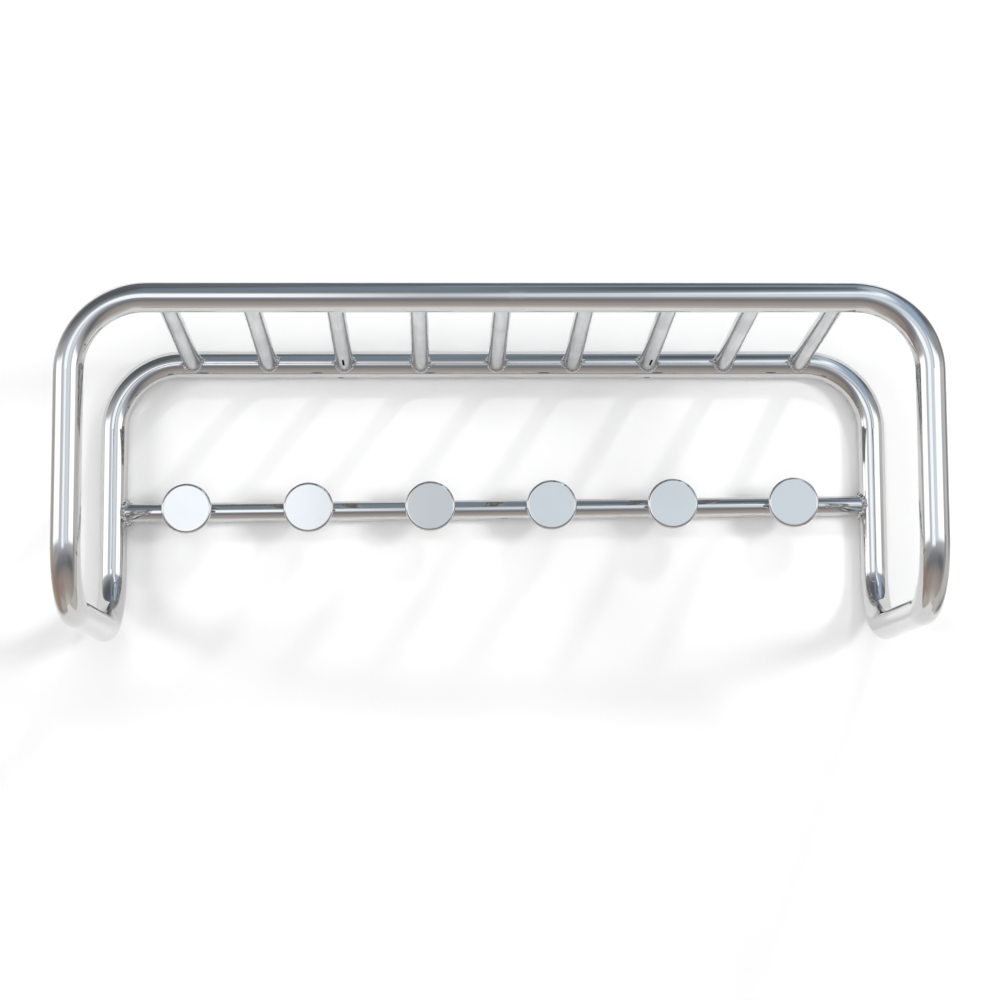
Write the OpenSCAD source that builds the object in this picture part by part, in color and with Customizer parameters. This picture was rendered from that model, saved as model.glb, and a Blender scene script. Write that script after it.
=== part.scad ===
// Wall coat rack of bent steel tube, with a hat shelf of round bars above
// and a rail of disc hooks below.
// The back of the rack lies on the wall plane y = 0 and the front faces -Y.
// X = 0 is the middle of the rack and z = 0 is the axis of the rear top tube.

/* [Frame] */
// Outside diameter of the frame tube
tube_d = 25; // [20:0.5:30]
// Wall thickness of the frame tube
tube_wall = 1.5; // [1:0.1:2.5]
// Width over the two front legs
frame_w = 739; // [500:1:1000]
// Depth from the wall to the front of the front tube
frame_depth = 292; // [220:1:360]
// Height from the underside of the arms to the top of the rear tube
frame_h = 274; // [240:1:360]
// How far the shelf falls from the front tube to the rear tube
shelf_fall = 8; // [0:0.5:20]
// How much further in each rear leg stands than the front leg beside it
leg_set_in = 6; // [0:0.5:15]
// Bend radius of the top corners, to the middle of the tube
corner_bend = 62; // [45:1:80]
// Bend radius at the foot of each leg, to the middle of the tube
foot_bend = 57; // [40:1:75]

/* [Frame joints] */
// Length of the sleeve inside each butt joint
sleeve_len = 60; // [30:1:90]
// Wall thickness of the sleeve
sleeve_wall = 2; // [1:0.1:4]
// Gap all round between a sleeve or block and the tube it is in
sleeve_gap = 0.1; // [0.05:0.01:0.3]

/* [Shelf] */
// Diameter of a shelf bar
bar_d = 16; // [10:0.5:18]
// Wall thickness of a shelf bar
bar_wall = 1.5; // [1:0.1:3]
// Number of shelf bars
bar_count = 9; // [5:1:9]
// Distance from one shelf bar to the next
bar_pitch = 70.3; // [50:0.1:75]
// How far the row of shelf bars sits from the middle of the rack
shelf_shift = 2; // [-3:0.5:3]
// Width of the drain slot under the two bars at the wall fixings
slot_w = 2; // [1:0.1:4]
// Length of the drain slot
slot_len = 24; // [8:1:40]
// Distance from the rear tube's axis to the nearer end of the drain slot
slot_start = 34; // [24:1:60]

/* [Hook rail] */
// Diameter of the hook rail
rail_d = 18; // [14:0.5:22]
// Wall thickness of the hook rail
rail_wall = 1.5; // [1:0.1:3]
// How far the middle of the rail lies below the rear top tube, axis to axis
rail_below = 136; // [100:1:160]
// How much lower the rail was set at the left leg than at the right leg
rail_drop = 6; // [0:0.5:8]

/* [Hooks] */
// Number of hooks
hook_count = 6; // [3:1:6]
// Distance from one hook to the next
hook_pitch = 111; // [80:1:115]
// How far the row of hooks sits from the middle of the rack
hook_shift = -4; // [-15:0.5:15]
// Distance from the rail's axis to the face of a hook disc
hook_reach = 32; // [26:0.5:60]
// Diameter of a hook disc
disc_d = 46; // [30:0.5:60]
// Thickness of a hook disc
disc_t = 4; // [3:0.1:8]
// Radius of the rounding round the face of a disc
disc_round = 2.4; // [0.4:0.1:2.5]
// Diameter of a hook neck
neck_d = 10; // [6:0.5:14]
// Diameter of the spigot that plugs the neck into its disc
spigot_d = 6; // [3:0.5:8]
// Length of the spigot
spigot_len = 2; // [1:0.1:2.5]
// Gap all round between the spigot and its hole
spigot_gap = 0.05; // [0.02:0.01:0.1]

/* [Wall fixings] */
// Distance between the two fixings in the rear top tube
fixing_pitch = 285; // [120:0.5:300]
// How far the fixing in the hook rail sits from the middle of the rack
rail_fixing_shift = 9; // [-20:0.5:20]
// Diameter of the hole that slides over a wall stud
stud_hole_d = 8.4; // [5:0.1:9]
// Depth of the stud hole from the back of the tube
stud_hole_depth = 15; // [8:0.5:17]
// Length of the block inside the tube that holds a stud
block_len = 24; // [14:1:40]
// Diameter of the grub screws that lock the studs
grub_d = 6; // [4:0.5:8]
// Width across the flats of the key socket
key_size = 3; // [2:0.5:4]
// Depth of the key socket
key_depth = 2.5; // [1:0.5:4]
// How far a grub screw stops short of the tube's surface
grub_recess = 0.5; // [0:0.1:1.2]
// Gap all round between a grub screw and its hole
grub_gap = 0.05; // [0.02:0.01:0.1]

/* [Welds] */
// Leg length of the welds round the shelf bars and the rail's ends
weld_leg = 2.4; // [1:0.1:3]
// Leg length of the welds round the hook necks
neck_weld_leg = 1.6; // [0.6:0.1:2]

/* [Hidden] */
$fn = 64;

chrome = "#c9ccd0";
satin = "#b4b7ba";
zinc = "#8f9296";
over = 1;

tube_r = tube_d / 2;
bar_r = bar_d / 2;
neck_r = neck_d / 2;

// Diameter of a piece that slides inside the frame tube, and inside the rail
tube_bore_fit = tube_d - 2 * tube_wall - 2 * sleeve_gap;
rail_bore_fit = rail_d - 2 * rail_wall - 2 * sleeve_gap;

// Axes of the legs, the top tubes and the arms. The cosine of the arms' turn is rounded,
// so that the turned bends meet the upright legs without a step.
front_x = (frame_w - tube_d) / 2;
front_y = -(frame_depth - tube_r);
rear_y = -tube_r;
foot_z = -(frame_h - tube_d);
arm_run = rear_y - front_y;
arm_cos = round(1e6 * arm_run / norm([arm_run, leg_set_in])) / 1e6;
arm_turn = acos(arm_cos);
arm_len = arm_run / arm_cos;
rear_x = front_x - arm_len * sin(arm_turn);

// Axis of shelf bar i, from the front top tube's axis to the rear one's
function bar_x(i) = shelf_shift + (i - (bar_count + 1) / 2) * bar_pitch;
function bar_front(i) = [bar_x(i), front_y, shelf_fall];
function bar_rear(i) = [bar_x(i), rear_y, 0];
drained_bars = [3, bar_count - 2];

// Axis of the rail, from the left rear leg's axis to the right one's
function rail_z(x) = -rail_below + rail_drop * x / (2 * rear_x);
rail_left = [-rear_x, rear_y, rail_z(-rear_x)];
rail_right = [rear_x, rear_y, rail_z(rear_x)];

// Axis of hook i, from the rail's axis to the back of its disc
function hook_x(i) = hook_shift + (i - (hook_count + 1) / 2) * hook_pitch;
function hook_root(i) = [hook_x(i), rear_y, rail_z(hook_x(i))];
function hook_tip(i) = hook_root(i) - [0, hook_reach - disc_t, 0];

// Turns and moves its children so that their Z axis runs from a towards b
module aim(a, b) {
    v = b - a;
    translate(a)
        rotate([0, acos(v.z / norm(v)), atan2(v.y, v.x)])
            children();
}

// A solid rod from a to b, longer at each end by extra
module rod(a, b, d, extra = 0) {
    aim(a, b)
        translate([0, 0, -extra])
            cylinder(d = d, h = norm(b - a) + 2 * extra);
}

// The cut section of the frame tube
module tube_section() {
    difference() {
        circle(d = tube_d);
        circle(d = tube_d - 2 * tube_wall);
    }
}

// A straight of frame tube along +Z
module straight(len) {
    linear_extrude(len)
        tube_section();
}

// A quarter bend of frame tube that leaves the origin along +Z and turns towards +X
module bend(radius) {
    translate([radius, 0, 0])
        mirror([1, 0, 0])
            rotate([90, 0, 0])
                rotate_extrude(angle = 90)
                    translate([radius, 0])
                        tube_section();
}

// A leg at the origin, with the corner above it and the run of top tube to the middle.
// turn points the rack's left along -X, and run is the leg's distance from the middle.
module leg_and_top(top_z, turn, run) {
    leg_bottom = foot_z + foot_bend;
    leg_top = top_z - corner_bend;
    translate([0, 0, leg_bottom])
        straight(leg_top - leg_bottom);
    rotate(turn)
        translate([0, 0, leg_top]) {
            mirror([1, 0, 0])
                bend(corner_bend);
            translate([-corner_bend, 0, corner_bend])
                rotate([0, -90, 0])
                    straight(run - corner_bend);
        }
}

// The right half of the frame: one tube with four bends, open at both butt joints.
// It is laid out in the upright plane of its two legs, from the rear leg along +X.
module half_frame() {
    turn = 90 - arm_turn;
    translate([rear_x, rear_y, 0])
        rotate(-turn) {
            leg_and_top(0, turn, rear_x);
            translate([0, 0, foot_z + foot_bend])
                mirror([0, 0, 1])
                    bend(foot_bend);
            translate([foot_bend, 0, foot_z])
                rotate([0, 90, 0])
                    straight(arm_len - 2 * foot_bend);
            translate([arm_len, 0, 0]) {
                leg_and_top(shelf_fall, turn, front_x);
                translate([0, 0, foot_z + foot_bend])
                    rotate([0, 180, 0])
                        bend(foot_bend);
            }
        }
}

// Holes of one wall fixing in a tube of diameter d, whose axis runs through the origin:
// the stud goes in from the back, and a grub screw locks it from below
module fixing_holes(d) {
    translate([0, d / 2 - stud_hole_depth, 0])
        rotate([-90, 0, 0])
            cylinder(d = stud_hole_d, h = stud_hole_depth + over);
    translate([0, 0, -d / 2 - over])
        cylinder(d = grub_d, h = d / 2 + over);
}

// Puts its children at the two wall fixings in the rear top tube
module at_tube_fixings() {
    for (s = [-1, 1])
        translate([s * fixing_pitch / 2, rear_y, 0])
            children();
}

// Puts its children at the wall fixing in the hook rail
module at_rail_fixing() {
    translate([rail_fixing_shift, rear_y, rail_z(rail_fixing_shift)])
        children();
}

module right_frame_tube() {
    color(chrome)
        difference() {
            half_frame();
            at_tube_fixings()
                fixing_holes(tube_d);
        }
}

module left_frame_tube() {
    color(chrome)
        mirror([1, 0, 0])
            difference() {
                half_frame();
                at_tube_fixings()
                    fixing_holes(tube_d);
            }
}

// A liner along X that crosses a butt joint in the top tubes
module sleeve() {
    rotate([0, 90, 0])
        difference() {
            cylinder(d = tube_bore_fit, h = sleeve_len, center = true);
            cylinder(d = tube_bore_fit - 2 * sleeve_wall, h = sleeve_len + 2 * over, center = true);
        }
}

module front_joint_sleeve() {
    color(zinc)
        translate([0, front_y, shelf_fall])
            sleeve();
}

module rear_joint_sleeve() {
    color(zinc)
        translate([0, rear_y, 0])
            sleeve();
}

// Solid rods the size of the two top tubes, or thicker all round by grow
module front_top_rod(grow = 0) {
    rod([-front_x, front_y, shelf_fall], [front_x, front_y, shelf_fall], tube_d + 2 * grow);
}

module rear_top_rod(grow = 0) {
    rod([-rear_x, rear_y, 0], [rear_x, rear_y, 0], tube_d + 2 * grow);
}

// A solid rod the size of the rear leg on side s, or thicker all round by grow
module rear_leg_rod(s, grow = 0) {
    translate([s * rear_x, rear_y, foot_z])
        rotate(90)
            cylinder(d = tube_d + 2 * grow, h = -foot_z);
}

// A solid rod the size of the rail, or thicker all round by grow
module rail_rod(grow = 0) {
    rod(rail_left, rail_right, rail_d + 2 * grow);
}

// A shelf bar, whose ends are notched to sit round both top tubes
module shelf_bar(i) {
    drained = len(search(i, drained_bars)) > 0;
    color(satin)
        difference() {
            rod(bar_front(i), bar_rear(i), bar_d);
            rod(bar_front(i), bar_rear(i), bar_d - 2 * bar_wall, over);
            front_top_rod();
            rear_top_rod();
            if (drained)
                aim(bar_rear(i), bar_front(i))
                    translate([0, -slot_w / 2, slot_start])
                        cube([bar_r + over, slot_w, slot_len]);
        }
}

// A weld round a rod that runs from a, on the axis of a tube, towards b.
// The first child is the tube, and the second the same tube thicker by leg.
module weld(a, b, on_d, rod_d, leg) {
    reach = a + (b - a) / norm(b - a) * (on_d / 2 + 2 * leg);
    difference() {
        intersection() {
            rod(a, reach, rod_d + 2 * leg);
            children(1);
        }
        rod(a, b, rod_d);
        children(0);
    }
}

module shelf_front_welds() {
    color(chrome)
        for (i = [1:bar_count])
            weld(bar_front(i), bar_rear(i), tube_d, bar_d, weld_leg) {
                front_top_rod();
                front_top_rod(weld_leg);
            }
}

module shelf_rear_welds() {
    color(chrome)
        for (i = [1:bar_count])
            weld(bar_rear(i), bar_front(i), tube_d, bar_d, weld_leg) {
                rear_top_rod();
                rear_top_rod(weld_leg);
            }
}

// The hook rail, notched round both rear legs and drilled for its wall fixing
module hook_rail() {
    color(chrome)
        difference() {
            rail_rod();
            rod(rail_left, rail_right, rail_d - 2 * rail_wall, over);
            rear_leg_rod(-1);
            rear_leg_rod(1);
            at_rail_fixing()
                fixing_holes(rail_d);
        }
}

module rail_left_weld() {
    color(chrome)
        weld(rail_left, rail_right, tube_d, rail_d, weld_leg) {
            rear_leg_rod(-1);
            rear_leg_rod(-1, weld_leg);
        }
}

module rail_right_weld() {
    color(chrome)
        weld(rail_right, rail_left, tube_d, rail_d, weld_leg) {
            rear_leg_rod(1);
            rear_leg_rod(1, weld_leg);
        }
}

// A hook's neck: notched round the rail, with a spigot that plugs into the disc
module hook_neck(i) {
    color(chrome)
        difference() {
            union() {
                rod(hook_root(i), hook_tip(i), neck_d);
                rod(hook_root(i), hook_tip(i) - [0, spigot_len, 0], spigot_d);
            }
            rail_rod();
        }
}

// Half the outline of a disc: the back on the X axis, the face above, its edge rounded
module disc_outline() {
    square([disc_d / 2, disc_t - disc_round]);
    square([disc_d / 2 - disc_round, disc_t]);
    translate([disc_d / 2 - disc_round, disc_t - disc_round])
        circle(r = disc_round);
}

// A hook's disc, turned from the solid, with a blind hole in its back for the spigot
module hook_disc(i) {
    color(chrome)
        translate(hook_tip(i))
            rotate([90, 0, 0])
                difference() {
                    rotate_extrude()
                        disc_outline();
                    translate([0, 0, -over])
                        cylinder(d = spigot_d + 2 * spigot_gap, h = over + spigot_len + spigot_gap);
                }
}

// The welds of every hook: one round the neck on the rail, one behind the disc
module hook_neck_welds() {
    color(chrome)
        for (i = [1:hook_count]) {
            weld(hook_root(i), hook_tip(i), rail_d, neck_d, neck_weld_leg) {
                rail_rod();
                rail_rod(neck_weld_leg);
            }
            translate(hook_tip(i))
                rotate([-90, 0, 0])
                    difference() {
                        cylinder(r1 = neck_r + neck_weld_leg, r2 = neck_r, h = neck_weld_leg);
                        translate([0, 0, -over])
                            cylinder(d = neck_d, h = neck_weld_leg + 2 * over);
                    }
        }
}

// A block inside a tube of diameter d, drilled for the stud and tapped for the grub screw
module stud_block(d, fit_d) {
    difference() {
        rotate([0, 90, 0])
            cylinder(d = fit_d, h = block_len, center = true);
        fixing_holes(d);
    }
}

module tube_stud_blocks() {
    color(zinc)
        at_tube_fixings()
            stud_block(tube_d, tube_bore_fit);
}

module rail_stud_block() {
    color(zinc)
        at_rail_fixing()
            stud_block(rail_d, rail_bore_fit);
}

// A grub screw under a tube of diameter d: it ends at the stud, its key socket faces down
module grub_screw(d) {
    bottom = -d / 2 + grub_recess;
    translate([0, 0, bottom])
        difference() {
            cylinder(d = grub_d - 2 * grub_gap, h = -stud_hole_d / 2 - bottom);
            translate([0, 0, -over])
                cylinder(d = key_size / cos(30), h = key_depth + over, $fn = 6);
        }
}

module tube_grub_screws() {
    color(zinc)
        at_tube_fixings()
            grub_screw(tube_d);
}

module rail_grub_screw() {
    color(zinc)
        at_rail_fixing()
            grub_screw(rail_d);
}

left_frame_tube();
right_frame_tube();
front_joint_sleeve();
rear_joint_sleeve();
for (i = [1:bar_count])
    shelf_bar(i);
shelf_front_welds();
shelf_rear_welds();
hook_rail();
rail_left_weld();
rail_right_weld();
for (i = [1:hook_count])
    hook_neck(i);
for (i = [1:hook_count])
    hook_disc(i);
hook_neck_welds();
tube_stud_blocks();
rail_stud_block();
tube_grub_screws();
rail_grub_screw();
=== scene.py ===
import bpy
import numpy as np
from mathutils import Matrix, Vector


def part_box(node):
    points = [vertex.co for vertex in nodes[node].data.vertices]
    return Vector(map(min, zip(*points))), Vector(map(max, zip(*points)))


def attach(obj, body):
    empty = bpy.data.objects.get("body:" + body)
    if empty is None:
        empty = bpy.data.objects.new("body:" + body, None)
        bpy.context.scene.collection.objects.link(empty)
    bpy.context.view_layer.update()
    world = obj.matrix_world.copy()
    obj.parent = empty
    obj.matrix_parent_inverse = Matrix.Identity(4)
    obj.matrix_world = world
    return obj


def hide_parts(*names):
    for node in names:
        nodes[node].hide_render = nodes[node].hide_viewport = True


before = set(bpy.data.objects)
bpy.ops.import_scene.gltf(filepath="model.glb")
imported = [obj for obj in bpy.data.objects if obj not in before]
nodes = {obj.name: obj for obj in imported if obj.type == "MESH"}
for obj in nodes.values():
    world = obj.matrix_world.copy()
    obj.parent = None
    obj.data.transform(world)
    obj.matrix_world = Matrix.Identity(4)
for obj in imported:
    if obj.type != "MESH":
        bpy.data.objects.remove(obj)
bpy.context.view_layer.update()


# ---------------------------------------------------------------------------
# The frame: two lengths of 25 mm steel tube, each bent four times, which meet
# in butt joints at the middle of the front and rear top tubes. The joints are
# ground flush and the whole is bright chrome plate over nickel.
# ---------------------------------------------------------------------------

frame_tube_r = 0.0125
front_tube_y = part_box("left_frame_tube")[0].y + frame_tube_r
front_tube_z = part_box("left_frame_tube")[1].z - frame_tube_r
rear_tube_y = -frame_tube_r
rear_tube_z = 0.0


def value_node(tree, kind, **settings):
    """A node of that kind in the tree, with its settings."""
    node = tree.nodes.new(kind)
    for name, value in settings.items():
        setattr(node, name, value)
    return node


def wiped_metal_group():
    """Shader group for what years of wiping leave on plated metal. Fine grain is a noise
    stretched along one axis and haze is a broad soft noise. It puts out a roughness, a height
    for a bump, a mask of the haze and a mask of the grain's streaks."""
    grain_share = 0.4
    haze_from, haze_to = 0.42, 0.72
    streak_from, streak_to = 0.35, 0.65
    group = bpy.data.node_groups.new("wiped_metal", "ShaderNodeTree")
    face = group.interface
    for name, start in (("Grain Scale X", 40.0), ("Grain Scale Y", 40.0), ("Grain Scale Z", 40.0),
                        ("Clean Roughness", 0.03), ("Hazed Roughness", 0.12), ("Haze Scale", 18.0)):
        face.new_socket(name, in_out="INPUT", socket_type="NodeSocketFloat").default_value = start
    for name in ("Roughness", "Height", "Haze", "Streak"):
        face.new_socket(name, in_out="OUTPUT", socket_type="NodeSocketFloat")
    link = group.links.new
    came = value_node(group, "NodeGroupInput")
    gone = value_node(group, "NodeGroupOutput")
    place = value_node(group, "ShaderNodeTexCoord")
    scale = value_node(group, "ShaderNodeCombineXYZ")
    for axis in "XYZ":
        link(came.outputs["Grain Scale " + axis], scale.inputs[axis])
    stretched = value_node(group, "ShaderNodeVectorMath", operation="MULTIPLY")
    link(place.outputs["Object"], stretched.inputs[0])
    link(scale.outputs[0], stretched.inputs[1])
    grain = value_node(group, "ShaderNodeTexNoise")
    grain.inputs["Scale"].default_value = 1.0
    grain.inputs["Detail"].default_value = 4.0
    link(stretched.outputs[0], grain.inputs["Vector"])
    haze = value_node(group, "ShaderNodeTexNoise")
    haze.inputs["Detail"].default_value = 3.0
    link(place.outputs["Object"], haze.inputs["Vector"])
    link(came.outputs["Haze Scale"], haze.inputs["Scale"])
    edge = value_node(group, "ShaderNodeMapRange", interpolation_type="SMOOTHSTEP")
    edge.inputs["From Min"].default_value = haze_from
    edge.inputs["From Max"].default_value = haze_to
    link(haze.outputs["Fac"], edge.inputs["Value"])
    both = value_node(group, "ShaderNodeMath", operation="MULTIPLY_ADD")
    link(grain.outputs["Fac"], both.inputs[0])
    both.inputs[1].default_value = grain_share
    link(edge.outputs["Result"], both.inputs[2])
    rough = value_node(group, "ShaderNodeMapRange")
    rough.inputs["From Max"].default_value = 1.0 + grain_share
    link(both.outputs[0], rough.inputs["Value"])
    link(came.outputs["Clean Roughness"], rough.inputs["To Min"])
    link(came.outputs["Hazed Roughness"], rough.inputs["To Max"])
    link(rough.outputs["Result"], gone.inputs["Roughness"])
    link(grain.outputs["Fac"], gone.inputs["Height"])
    link(edge.outputs["Result"], gone.inputs["Haze"])
    streak = value_node(group, "ShaderNodeMapRange")
    streak.inputs["From Min"].default_value = streak_from
    streak.inputs["From Max"].default_value = streak_to
    link(grain.outputs["Fac"], streak.inputs["Value"])
    link(streak.outputs["Result"], gone.inputs["Streak"])
    return group


wiped_metal = wiped_metal_group()


def plated(name, colour, clean, hazed, grain, bump, dull, streaks=0.0):
    """A plated steel material. The wiped_metal group drives its roughness, its bump and how far
    the colour goes towards the duller one. grain gives the grain's scale along X, Y and Z, and
    streaks how much of the grain shows as duller lines."""
    made = bpy.data.materials.new(name)
    made.use_nodes = True
    tree = made.node_tree
    link = tree.links.new
    surface = tree.nodes["Principled BSDF"]
    surface.inputs["Metallic"].default_value = 1.0
    wiped = value_node(tree, "ShaderNodeGroup", node_tree=wiped_metal)
    for axis, scale in zip("XYZ", grain):
        wiped.inputs["Grain Scale " + axis].default_value = scale
    wiped.inputs["Clean Roughness"].default_value = clean
    wiped.inputs["Hazed Roughness"].default_value = hazed
    tint = value_node(tree, "ShaderNodeMix", data_type="RGBA")
    tint.inputs["A"].default_value = (*colour, 1.0)
    tint.inputs["B"].default_value = (*dull, 1.0)
    worn = value_node(tree, "ShaderNodeMath", operation="MULTIPLY_ADD", use_clamp=True)
    link(wiped.outputs["Streak"], worn.inputs[0])
    worn.inputs[1].default_value = streaks
    link(wiped.outputs["Haze"], worn.inputs[2])
    link(worn.outputs[0], tint.inputs["Factor"])
    link(tint.outputs["Result"], surface.inputs["Base Color"])
    link(wiped.outputs["Roughness"], surface.inputs["Roughness"])
    raised = value_node(tree, "ShaderNodeBump")
    raised.inputs["Strength"].default_value = 1.0
    raised.inputs["Distance"].default_value = bump
    link(wiped.outputs["Height"], raised.inputs["Height"])
    link(raised.outputs["Normal"], surface.inputs["Normal"])
    return made


def dress(finish, *names):
    """Puts a finish on every material slot of the named nodes."""
    for name in names:
        node = nodes[name]
        node.data.materials.clear()
        node.data.materials.append(finish)
        for polygon_slot in node.material_slots:
            polygon_slot.material = finish


def ground_joint(finish, middle, half, rough):
    """Adds to a finish the smear that grinding left beside the front joint: a band of coarser
    polish, whose distance from its middle along X is broken up by a noise. It reaches no
    further back than rearmost, so it lies on the front tube alone."""
    noise_scale, noise_share = 180.0, 0.6
    full_inside, none_outside = 0.7, 1.5
    rearmost = -0.2
    tree = finish.node_tree
    link = tree.links.new
    place = value_node(tree, "ShaderNodeTexCoord")
    apart = value_node(tree, "ShaderNodeSeparateXYZ")
    link(place.outputs["Object"], apart.inputs[0])
    ragged = value_node(tree, "ShaderNodeTexNoise")
    ragged.inputs["Scale"].default_value = noise_scale
    link(place.outputs["Object"], ragged.inputs["Vector"])
    off = value_node(tree, "ShaderNodeMath", operation="SUBTRACT")
    link(apart.outputs["X"], off.inputs[0])
    off.inputs[1].default_value = middle
    far = value_node(tree, "ShaderNodeMath", operation="ABSOLUTE")
    link(off.outputs[0], far.inputs[0])
    spread = value_node(tree, "ShaderNodeMath", operation="MULTIPLY_ADD")
    link(ragged.outputs["Fac"], spread.inputs[0])
    spread.inputs[1].default_value = noise_share * half
    link(far.outputs[0], spread.inputs[2])
    band = value_node(tree, "ShaderNodeMapRange", interpolation_type="SMOOTHSTEP")
    band.inputs["From Min"].default_value = full_inside * half
    band.inputs["From Max"].default_value = none_outside * half
    band.inputs["To Min"].default_value = rough
    band.inputs["To Max"].default_value = 0.0
    link(spread.outputs[0], band.inputs["Value"])
    ahead = value_node(tree, "ShaderNodeMath", operation="LESS_THAN")
    link(apart.outputs["Y"], ahead.inputs[0])
    ahead.inputs[1].default_value = rearmost
    kept = value_node(tree, "ShaderNodeMath", operation="MULTIPLY")
    link(band.outputs["Result"], kept.inputs[0])
    link(ahead.outputs[0], kept.inputs[1])
    surface = tree.nodes["Principled BSDF"]
    both = value_node(tree, "ShaderNodeMath", operation="ADD")
    link(surface.inputs["Roughness"].links[0].from_socket, both.inputs[0])
    link(kept.outputs[0], both.inputs[1])
    link(both.outputs[0], surface.inputs["Roughness"])


chrome_colour, worn_chrome = (0.6, 0.6, 0.6), (0.58, 0.58, 0.575)
polish_grain, polish_depth = (60, 60, 60), 0.00001
frame_chrome = plated("frame_chrome", chrome_colour, clean=0.015, hazed=0.05, grain=polish_grain,
                      bump=polish_depth, dull=worn_chrome)
ground_joint(frame_chrome, middle=0.013, half=0.009, rough=0.16)
dress(frame_chrome, "left_frame_tube", "right_frame_tube")


# ---------------------------------------------------------------------------
# What is hidden inside the tubes: liners across the butt joints, and drilled
# blocks with grub screws that hold the rack on its wall studs. All are zinc
# plated mild steel, dull and slightly blue.
# ---------------------------------------------------------------------------

zinc = plated("zinc_steel", (0.42, 0.43, 0.45), clean=0.3, hazed=0.5, grain=(200, 200, 200),
              bump=0.00005, dull=(0.34, 0.34, 0.35))
dress(zinc, "front_joint_sleeve", "rear_joint_sleeve", "tube_stud_blocks", "rail_stud_block",
      "tube_grub_screws", "rail_grub_screw")


# ---------------------------------------------------------------------------
# The nine shelf bars: 16 mm steel tube, notched at both ends. Cases and boxes
# slid over them for years, so their chrome is hazed by fine lengthwise marks.
# ---------------------------------------------------------------------------

bar_r = 0.008
bar_names = ["shelf_bar_%d" % i for i in range(1, 10)]
hazed_chrome = plated("hazed_chrome", (0.59, 0.605, 0.62), clean=0.11, hazed=0.23, grain=(520, 9, 520),
                      bump=0.00006, dull=(0.46, 0.475, 0.485), streaks=0.8)
dress(hazed_chrome, *bar_names)


# ---------------------------------------------------------------------------
# The shelf welds: a bead of weld round each end of each bar, laid by hand in
# overlapping scales and plated over. It is thickest at the bar's two sides.
# ---------------------------------------------------------------------------

chrome = plated("chrome", chrome_colour, clean=0.015, hazed=0.06, grain=polish_grain,
                bump=polish_depth, dull=worn_chrome)


def saddle_bead(foot, along, across, tube_r, rod_r, bead_r, scales, ear, seed):
    """Points of a bead round a rod where it meets a tube. The rod's axis starts at foot and runs
    along a unit vector, and across is the tube's axis. At each angle t the seam is
    foot + s along + rod_r (cos t, sin t), where s = sqrt(tube_r^2 - (rod_r sin t)^2) is where the
    rod leaves the tube. The bead is a circle of angle v carried along the seam, of the radius
    bead_r (0.7 + 0.5 |sin(scales (t - 0.06 cos v) / 2 + p)|^0.6 + w + 0.5 q + ear g (1 + 5 q)).
    The sine makes crescent scales, w is a sum of low waves of t, q a sum of short waves of t and
    v, and g a bell round each of the rod's two sides, where a lumpy ear swells. The seed picks
    the phase p, the waves and where each bell leans."""
    steps_round, steps_across = 240, 16
    bell_width = 0.26
    wander = np.random.default_rng(seed)
    t = np.linspace(0, 2 * np.pi, steps_round, endpoint=False)[:, None]
    v = np.linspace(0, 2 * np.pi, steps_across, endpoint=False)[None, :]
    along = np.asarray(along, float)
    side = np.asarray(across, float) - np.dot(across, along) * along
    side = side / np.linalg.norm(side)
    up = np.cross(along, side)
    spread = np.cos(t) * side + np.sin(t) * up
    seam = foot + np.sqrt(tube_r ** 2 - (rod_r * np.sin(t)) ** 2) * along + rod_r * spread
    from_tube = seam - foot - ((seam - foot) @ side)[:, None] * side
    from_tube = from_tube / np.linalg.norm(from_tube, axis=1, keepdims=True)
    out = from_tube + spread
    out = out / np.linalg.norm(out, axis=1, keepdims=True)
    run = np.roll(seam, -1, 0) - np.roll(seam, 1, 0)
    run = run / np.linalg.norm(run, axis=1, keepdims=True)
    out = out - (out * run).sum(1, keepdims=True) * run
    out = out / np.linalg.norm(out, axis=1, keepdims=True)
    beside = np.cross(run, out)
    phase, lean = wander.uniform(0, 6.28), wander.uniform(-0.25, 0.25, 2)
    crescent = np.abs(np.sin(scales * (t - 0.06 * np.cos(v)) / 2 + phase)) ** 0.6
    low_waves = sum(wander.uniform(-0.1, 0.1) * np.cos(k * t + wander.uniform(0, 6.28))
                    for k in (1, 2, 3, 5))
    ragged = sum(wander.uniform(0.07, 0.14) * np.cos(k * t + m * v + wander.uniform(0, 6.28))
                 for k, m in ((7, 1), (11, -1), (16, 2), (23, -2), (31, 3)))
    swell = sum(np.exp(-(np.angle(np.exp(1j * (t - at - turn))) / bell_width) ** 2)
                for at, turn in ((0, lean[0]), (np.pi, lean[1])))
    r = bead_r * (0.7 + 0.5 * crescent + low_waves + 0.5 * ragged + ear * swell * (1 + 5 * ragged))
    centre = seam + 0.2 * bead_r * out
    round_seam = np.cos(v)[..., None] * out[:, None] + np.sin(v)[..., None] * beside[:, None]
    return centre[:, None] + r[..., None] * round_seam


def join_closed(name, parts, finish, stands_for):
    """One object of several closed surfaces, each a grid of points that joins up both ways. It
    stands for a CAD node."""
    corner, faces, count = [], [], 0
    for points in parts:
        rings, around = points.shape[:2]
        index = np.arange(rings * around).reshape(rings, around) + count
        along = np.roll(index, -1, 0)
        faces.append(np.stack([index, np.roll(index, -1, 1), np.roll(along, -1, 1), along],
                              -1).reshape(-1, 4))
        corner.append(points.reshape(-1, 3))
        count += rings * around
    corner, faces = np.concatenate(corner), np.concatenate(faces)
    mesh = bpy.data.meshes.new(name)
    mesh.from_pydata(corner.tolist(), [], faces.tolist())
    mesh.polygons.foreach_set("use_smooth", np.ones(len(faces), bool))
    mesh.materials.append(finish)
    made = bpy.data.objects.new(name, mesh)
    bpy.context.scene.collection.objects.link(made)
    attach(made, "root")
    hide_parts(stands_for)


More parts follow.
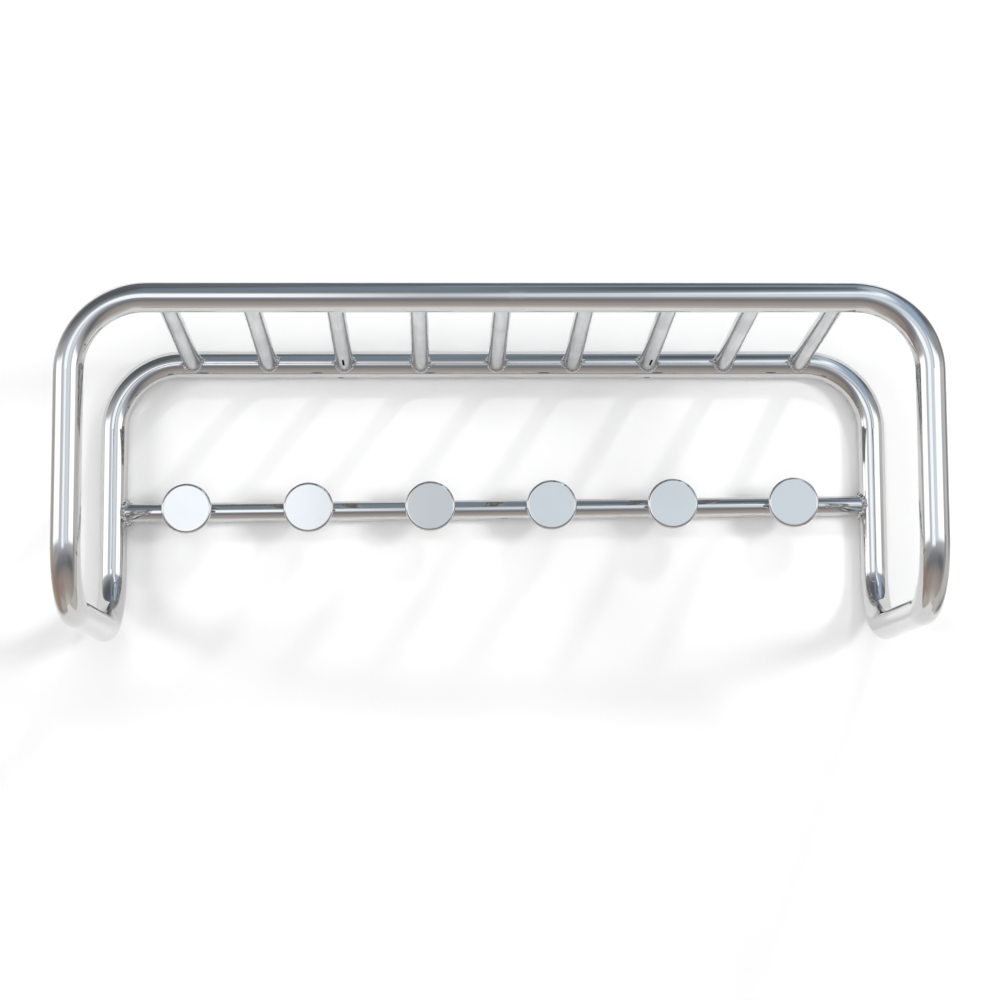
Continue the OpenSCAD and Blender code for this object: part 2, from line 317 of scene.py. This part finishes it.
bar_x = [(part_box(name)[0].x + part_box(name)[1].x) / 2 for name in bar_names]
to_rear = np.array([0, rear_tube_y - front_tube_y, rear_tube_z - front_tube_z])
to_rear = to_rear / np.linalg.norm(to_rear)
tube_axis = np.array([1.0, 0, 0])
rear_beads = [saddle_bead(np.array([x, rear_tube_y, rear_tube_z]), -to_rear, tube_axis,
                          frame_tube_r, bar_r, bead_r=0.0013, scales=20, ear=1.1, seed=40 + i)
              for i, x in enumerate(bar_x)]
front_beads = [saddle_bead(np.array([x, front_tube_y, front_tube_z]), to_rear, tube_axis,
                           frame_tube_r, bar_r, bead_r=0.0011, scales=28, ear=0.3, seed=60 + i)
               for i, x in enumerate(bar_x)]
join_closed("shelf_rear_beads", rear_beads, chrome, "shelf_rear_welds")
join_closed("shelf_front_beads", front_beads, chrome, "shelf_front_welds")


# ---------------------------------------------------------------------------
# The hook rail: 18 mm steel tube between the rear legs, notched and welded
# round both of them, in the same bright chrome.
# ---------------------------------------------------------------------------

rail_r = 0.009
leg_x = 0.351
rail_left_z, rail_right_z = -0.139, -0.133
rail_ends = np.array([[-leg_x, rear_tube_y, rail_left_z], [leg_x, rear_tube_y, rail_right_z]])
rail_run = (rail_ends[1] - rail_ends[0]) / np.linalg.norm(rail_ends[1] - rail_ends[0])
dress(chrome, "hook_rail")
leg_axis = np.array([0, 0, 1.0])
for side, end, inward, seed in (("left", rail_ends[0], rail_run, 81),
                                ("right", rail_ends[1], -rail_run, 82)):
    bead = saddle_bead(end, inward, leg_axis, frame_tube_r, rail_r,
                       bead_r=0.0022, scales=17, ear=0.2, seed=seed)
    join_closed("rail_%s_bead" % side, [bead], chrome, "rail_%s_weld" % side)


# ---------------------------------------------------------------------------
# The six hooks: a turned steel neck welded to the rail, and a turned disc with
# a rounded rim, plugged on the neck and welded behind. Both are bright chrome.
# ---------------------------------------------------------------------------

hook_numbers = range(1, 7)
neck_r = 0.005
disc_t = 0.004
flat_r = 1.0  # so wide a tube that its side is flat, for the bead behind a disc
dress(chrome, *["hook_neck_%d" % i for i in hook_numbers],
      *["hook_disc_%d" % i for i in hook_numbers])
to_wall = np.array([0, 1.0, 0])
neck_beads = []
for i in hook_numbers:
    low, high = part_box("hook_disc_%d" % i)
    root = np.array([(low.x + high.x) / 2, rear_tube_y, (low.z + high.z) / 2])
    neck_beads.append(saddle_bead(root, -to_wall, tube_axis, rail_r, neck_r,
                                  bead_r=0.00085, scales=22, ear=0.1, seed=100 + i))
    behind = root * [1, 0, 1] + (low.y + disc_t) * to_wall
    neck_beads.append(saddle_bead(behind - flat_r * to_wall, to_wall, tube_axis, flat_r, neck_r,
                                  bead_r=0.0007, scales=22, ear=0.0, seed=120 + i))
join_closed("hook_neck_beads", neck_beads, chrome, "hook_neck_welds")


# ---------------------------------------------------------------------------
# The studio: a white board behind the rack, a pale floor far below, lamps, and
# a wide surround of pale and dark cards that only the chrome reflects.
# ---------------------------------------------------------------------------


def flat_sheet(name, corners, paper):
    """One flat four-cornered sheet of the studio, of that paper."""
    mesh = bpy.data.meshes.new(name)
    mesh.from_pydata(corners, [], [(0, 1, 2, 3)])
    mesh.materials.append(paper)
    made = bpy.data.objects.new(name, mesh)
    bpy.context.scene.collection.objects.link(made)
    return made


def upright_sheet(name, half, y, low, high, paper):
    """A sheet that stands at y and faces the room, half to each side and from low to high."""
    corners = [(-half, y, low), (half, y, low), (half, y, high), (-half, y, high)]
    return flat_sheet(name, corners, paper)


def lifted_paper(name, colour, lift, see_through_back):
    """Matt paper that catches shadows, plus a little light of its own for the camera and for
    rays reflected by metal, so that it reads as white. Its back can be see-through."""
    made = bpy.data.materials.new(name)
    made.use_nodes = True
    tree = made.node_tree
    tree.nodes.clear()
    link = tree.links.new
    out = value_node(tree, "ShaderNodeOutputMaterial")
    matt = value_node(tree, "ShaderNodeBsdfDiffuse")
    matt.inputs["Color"].default_value = (*colour, 1.0)
    glow = value_node(tree, "ShaderNodeEmission")
    path = value_node(tree, "ShaderNodeLightPath")
    seen = value_node(tree, "ShaderNodeMath", operation="MAXIMUM")
    link(path.outputs["Is Camera Ray"], seen.inputs[0])
    link(path.outputs["Is Glossy Ray"], seen.inputs[1])
    seen_all = value_node(tree, "ShaderNodeMath", operation="MAXIMUM")
    link(seen.outputs[0], seen_all.inputs[0])
    link(path.outputs["Is Transmission Ray"], seen_all.inputs[1])
    amount = value_node(tree, "ShaderNodeMath", operation="MULTIPLY")
    amount.inputs[1].default_value = lift
    link(seen_all.outputs[0], amount.inputs[0])
    link(amount.outputs[0], glow.inputs["Strength"])
    both = value_node(tree, "ShaderNodeAddShader")
    link(matt.outputs[0], both.inputs[0])
    link(glow.outputs[0], both.inputs[1])
    if see_through_back:
        side = value_node(tree, "ShaderNodeNewGeometry")
        clear = value_node(tree, "ShaderNodeBsdfTransparent")
        pick = value_node(tree, "ShaderNodeMixShader")
        link(side.outputs["Backfacing"], pick.inputs[0])
        link(both.outputs[0], pick.inputs[1])
        link(clear.outputs[0], pick.inputs[2])
        link(pick.outputs[0], out.inputs["Surface"])
    else:
        link(both.outputs[0], out.inputs["Surface"])
    return made


board_paper = lifted_paper("board_paper", (0.9, 0.9, 0.9), lift=0.04, see_through_back=True)
floor_paper = lifted_paper("floor_paper", (0.8, 0.8, 0.8), lift=0.92, see_through_back=False)
floor_z = -1.65
floor_half = 14
upright_sheet("wall_board", half=0.52, y=0.0005, low=-0.66, high=0.38, paper=board_paper)
wall = upright_sheet("wall_beyond", half=2.4, y=0.001, low=floor_z, high=1.6, paper=board_paper)
floor_corners = [(-floor_half, -floor_half, floor_z), (floor_half, -floor_half, floor_z),
                 (floor_half, floor_half, floor_z), (-floor_half, floor_half, floor_z)]
ground = flat_sheet("floor", floor_corners, floor_paper)
# Metal shows the board but not the rest of the wall or the floor
wall.visible_glossy = False
ground.visible_glossy = False


def surround_light(across, rise):
    """The light of the surround as an array of colours. across is the angle to the right of
    straight ahead of the rack and rise the angle above level, both in degrees. The room's own
    tone runs with rise, and each card covers it where smooth steps at its four sides say. The
    cards stand for a room's windows, its skylight, its brown wall on the left and its floor."""
    rise_stops = [-90, -84, -76, -68, -55, -42, -30, -20, -10, -2, 10, 18, 26, 36, 50, 70, 90]
    tones = np.array([
        (.84, .79, .74), (.76, .71, .66), (.64, .59, .54), (.54, .49, .46), (.50, .45, .42),
        (.40, .36, .34), (.26, .27, .29), (.33, .34, .37), (.56, .58, .62), (.76, .80, .85),
        (.78, .82, .87), (.62, .65, .68), (.38, .39, .41), (.19, .21, .23), (.14, .155, .17),
        (.155, .17, .185), (.24, .27, .30)])
    light = np.stack([np.interp(rise, rise_stops, tones[:, k]) for k in range(3)], -1)
    cards = [
        # across, rise, half long, half wide, lean, edge, colour
        (-112, -62, 18, 16, 0, 16, (.66, .60, .54)),
        (112, -60, 26, 16, 0, 16, (.76, .73, .70)),
        (-120, -14, 20, 20, 0, 18, (.52, .42, .33)),
        (-95, -32, 18, 16, 0, 18, (.44, .32, .26)),
        (-60, -50, 24, 10, 0, 18, (.48, .37, .33)),
        (-112, 4, 16, 10, 0, 14, (.60, .53, .49)),
        (-75, -12, 22, 6, 0, 10, (.54, .48, .46)),
        (100, -16, 22, 28, 0, 20, (.76, .73, .69)),
        (72, -18, 7, 24, 0, 12, (.40, .39, .39)),
        (40, -28, 22, 6, 0, 14, (.22, .215, .225)),
        (84, 22, 30, 7, 0, 10, (.46, .46, .47)),
        (116, 28, 9, 30, 0, 14, (.22, .22, .22)),
        (-112, 42, 12, 18, 0, 22, (.58, .57, .55)),
        (-6, 54, 12, 22, 0, 18, (.28, .35, .42)),
        (50, 80, 56, 6, 0, 12, (.33, .43, .54)),
        (42, 42, 34, 18, 45, 20, (.50, .64, .82)),
        (21, 31, 22, 4, 47, 10, (1.5, 1.6, 1.7)),
        (62, 62, 34, 7, 12, 14, (.66, .75, .82)),
        (80, 47, 14, 4, 0, 10, (.28, .36, .44)),
        (-68, 7, 23, 8, 0, 6, (1.8, 1.8, 1.8)),
        (-15, 3, 12, 13, 0, 7, (1.5, 1.58, 1.66)),
        (9, 6, 9, 10, 0, 6, (1.0, 1.1, 1.18)),
        (45, 7, 19, 9, 0, 6, (1.8, 1.8, 1.8)),
        (-142, 38, 18, 20, 0, 18, (1.65, 1.64, 1.62)),
        (144, 46, 14, 14, 0, 18, (1.4, 1.45, 1.5)),
        (180, 72, 28, 12, 0, 12, (.16, .19, .22)),
        (180, -46, 42, 42, 0, 14, (1.07, 1.05, 1.03)),
    ]
    for centre, height, long, wide, lean, edge, colour in cards:
        right = (across - centre + 180) % 360 - 180
        up = rise - height
        c, s = np.cos(np.radians(lean)), np.sin(np.radians(lean))
        far = np.stack([np.abs(c * right + s * up) - long, np.abs(c * up - s * right) - wide])
        near = np.clip(0.5 - far / edge, 0, 1)
        cover = (near * near * (3 - 2 * near)).prod(0)[..., None]
        light = light * (1 - cover) + np.array(colour) * cover
    return light


surround_r = 5.0
surround_middle = [0, -0.15, -0.1]
turn, rise = np.meshgrid(np.radians(np.linspace(-180, 180, 361)[:-1]),
                         np.radians(np.linspace(-90, 90, 181)), indexing="ij")
way = np.stack([np.sin(turn) * np.cos(rise), -np.cos(turn) * np.cos(rise), np.sin(rise)], -1)
shell_index = np.arange(turn.size).reshape(turn.shape)
shell_next = np.roll(shell_index, -1, 0)
shell_faces = np.stack([shell_index[:, :-1], shell_next[:, :-1], shell_next[:, 1:], shell_index[:, 1:]],
                       -1).reshape(-1, 4)
shell = bpy.data.meshes.new("surround")
shell.from_pydata((surround_r * way + surround_middle).reshape(-1, 3).tolist(), [], shell_faces.tolist())
shell.polygons.foreach_set("use_smooth", np.ones(len(shell_faces), bool))
shade = shell.color_attributes.new("light", "FLOAT_COLOR", "POINT")
lit = np.concatenate([surround_light(np.degrees(turn), np.degrees(rise)), np.ones(turn.shape + (1,))], -1)
shade.data.foreach_set("color", lit.astype(np.float32).ravel())
surround = bpy.data.objects.new("surround", shell)
bpy.context.scene.collection.objects.link(surround)
glowing = bpy.data.materials.new("surround_cards")
glowing.use_nodes = True
glowing.node_tree.nodes.clear()
card_out = value_node(glowing.node_tree, "ShaderNodeOutputMaterial")
card_glow = value_node(glowing.node_tree, "ShaderNodeEmission")
card_light = value_node(glowing.node_tree, "ShaderNodeAttribute", attribute_name="light")
glowing.node_tree.links.new(card_light.outputs["Color"], card_glow.inputs["Color"])
glowing.node_tree.links.new(card_glow.outputs[0], card_out.inputs["Surface"])
glowing.cycles.emission_sampling = "NONE"
shell.materials.append(glowing)
# Only the metal sees the surround
surround.visible_camera = False
surround.visible_diffuse = False
surround.visible_shadow = False
surround.visible_transmission = False
surround.visible_volume_scatter = False


def area_lamp(name, place, target, size, power):
    """A square lamp at place that faces target. Metal doesn't show it."""
    lamp = bpy.data.lights.new(name, "AREA")
    lamp.size = size
    lamp.energy = power
    made = bpy.data.objects.new(name, lamp)
    bpy.context.scene.collection.objects.link(made)
    back = np.array(place, float) - np.array(target, float)
    back = back / np.linalg.norm(back)
    right = np.cross([0, 0, 1.0], back)
    right = right / np.linalg.norm(right)
    up = np.cross(back, right)
    made.matrix_world = Matrix([[right[k], up[k], back[k], place[k]] for k in range(3)]
                               + [[0, 0, 0, 1]])
    made.visible_glossy = False


rack_middle = (0, 0, -0.15)
for name, place, size, power in (
        ("key_lamp", (1.0, -1.6, 1.5), 0.12, 9),
        ("side_lamp", (1.6, -1.6, 0.2), 0.3, 6.4),
        ("side_lamp_far", (2.4, -2.8, 0.1), 0.6, 26),
        ("front_lamp", (0, -4.5, -0.2), 3.5, 19),
        ("front_lamp_high", (-0.25, -4.5, 0.5), 2.5, 25),
        ("front_lamp_low", (-0.25, -4.5, -0.6), 1.8, 20),
        ("front_lamp_right", (2.2, -4.0, -0.1), 1.8, 14.5),
        ("high_lamp", (0, -2.2, 2.4), 2.4, 9),
        ("top_lamp", (0, -1.2, 1.6), 1.5, 8),
        ("left_lamp", (-3.2, -2.0, 0), 1.2, 49)):
    area_lamp(name, place, rack_middle, size, power)

world = bpy.data.worlds.new("studio_air")
bpy.context.scene.world = world
world.use_nodes = True
tree = world.node_tree
air = tree.nodes["Background"]
path = value_node(tree, "ShaderNodeLightPath")
first = value_node(tree, "ShaderNodeMath", operation="MAXIMUM")
second = value_node(tree, "ShaderNodeMath", operation="MAXIMUM")
strength = value_node(tree, "ShaderNodeMapRange")
tree.links.new(path.outputs["Is Camera Ray"], first.inputs[0])
tree.links.new(path.outputs["Is Glossy Ray"], first.inputs[1])
tree.links.new(first.outputs[0], second.inputs[0])
tree.links.new(path.outputs["Is Transmission Ray"], second.inputs[1])
tree.links.new(second.outputs[0], strength.inputs["Value"])
strength.inputs["To Min"].default_value = 0.0
strength.inputs["To Max"].default_value = 1.0
air.inputs["Color"].default_value = (1, 1, 1, 1)
tree.links.new(strength.outputs["Result"], air.inputs["Strength"])

bpy.context.scene.view_settings.view_transform = "Standard"

yaw, pitch, roll = -0.023899, 0.128551, 0.004711
turned = (np.array(Matrix.Rotation(yaw, 3, "Z")) @ np.array(Matrix.Rotation(pitch, 3, "X"))
          @ np.array(Matrix.Rotation(roll, 3, "Y")))
lens = bpy.data.cameras.new("camera")
lens.lens = 93.6
lens.sensor_width = 36.0
camera = bpy.data.objects.new("camera", lens)
bpy.context.scene.collection.objects.link(camera)
stand = (-0.052033, -2.398756, -0.435709)
camera.matrix_world = Matrix([[turned[k, 0], turned[k, 2], -turned[k, 1], stand[k]] for k in range(3)]
                             + [[0, 0, 0, 1]])
bpy.context.scene.camera = camera
